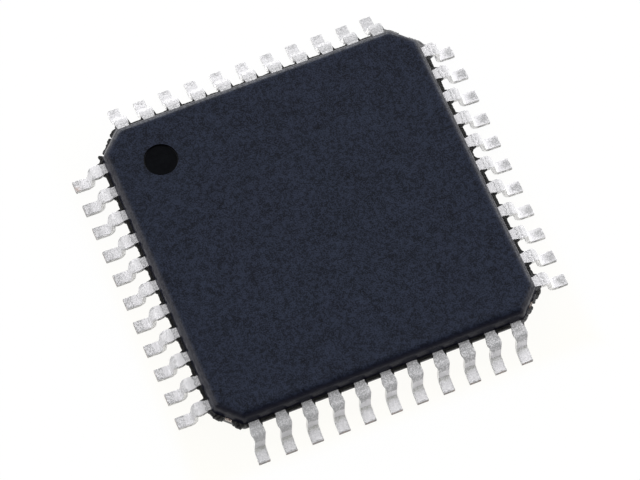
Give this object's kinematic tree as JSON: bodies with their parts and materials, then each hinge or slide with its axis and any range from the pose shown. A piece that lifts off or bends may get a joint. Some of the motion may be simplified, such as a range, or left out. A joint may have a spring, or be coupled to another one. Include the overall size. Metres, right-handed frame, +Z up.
{
  "type": "microcontroller chip in a thin quad flat package",
  "caption": "Square black moulded chip with bevelled corners, gull-wing solder leads along all four sides and a round dimple that marks the first lead.",
  "frame": {"origin": "centre of the seating plane, which is the plane of the soles of the solder feet", "axes": "+Z up out of the top face; +X to the right and +Y to the back, so the dimple and lead 1 are at -X, +Y; leads are counted counter-clockwise from there, seen from above"},
  "size_m": [0.012, 0.012, 0.0011],
  "materials": {
    "mould_resin": "fine-grained matte, as moulded",
    "matte_tin": "matte tin plating over copper, with forming marks",
    "bare_copper": "rolled copper alloy, unplated",
    "die_adhesive": "cured silver-filled epoxy",
    "silicon": "polished",
    "gold_wire": "drawn, bright"
  },
  "bodies": {
    "root": {"mould_body": "mould_resin", "die_paddle": "bare_copper", "die_attach": "die_adhesive", "die": "silicon", "lead_01": "matte_tin", "lead_02": "matte_tin", "lead_03": "matte_tin", "lead_04": "matte_tin", "lead_05": "matte_tin", "lead_06": "matte_tin", "lead_07": "matte_tin", "lead_08": "matte_tin", "lead_09": "matte_tin", "lead_10": "matte_tin", "lead_11": "matte_tin", "lead_12": "matte_tin", "lead_13": "matte_tin", "lead_14": "matte_tin", "lead_15": "matte_tin", "lead_16": "matte_tin", "lead_17": "matte_tin", "lead_18": "matte_tin", "lead_19": "matte_tin", "lead_20": "matte_tin", "lead_21": "matte_tin", "lead_22": "matte_tin", "lead_23": "matte_tin", "lead_24": "matte_tin", "lead_25": "matte_tin", "lead_26": "matte_tin", "lead_27": "matte_tin", "lead_28": "matte_tin", "lead_29": "matte_tin", "lead_30": "matte_tin", "lead_31": "matte_tin", "lead_32": "matte_tin", "lead_33": "matte_tin", "lead_34": "matte_tin", "lead_35": "matte_tin", "lead_36": "matte_tin", "lead_37": "matte_tin", "lead_38": "matte_tin", "lead_39": "matte_tin", "lead_40": "matte_tin", "lead_41": "matte_tin", "lead_42": "matte_tin", "lead_43": "matte_tin", "lead_44": "matte_tin", "bond_wires_left": "gold_wire", "bond_wires_front": "gold_wire", "bond_wires_right": "gold_wire", "bond_wires_back": "gold_wire"}
  },
  "joints": []
}
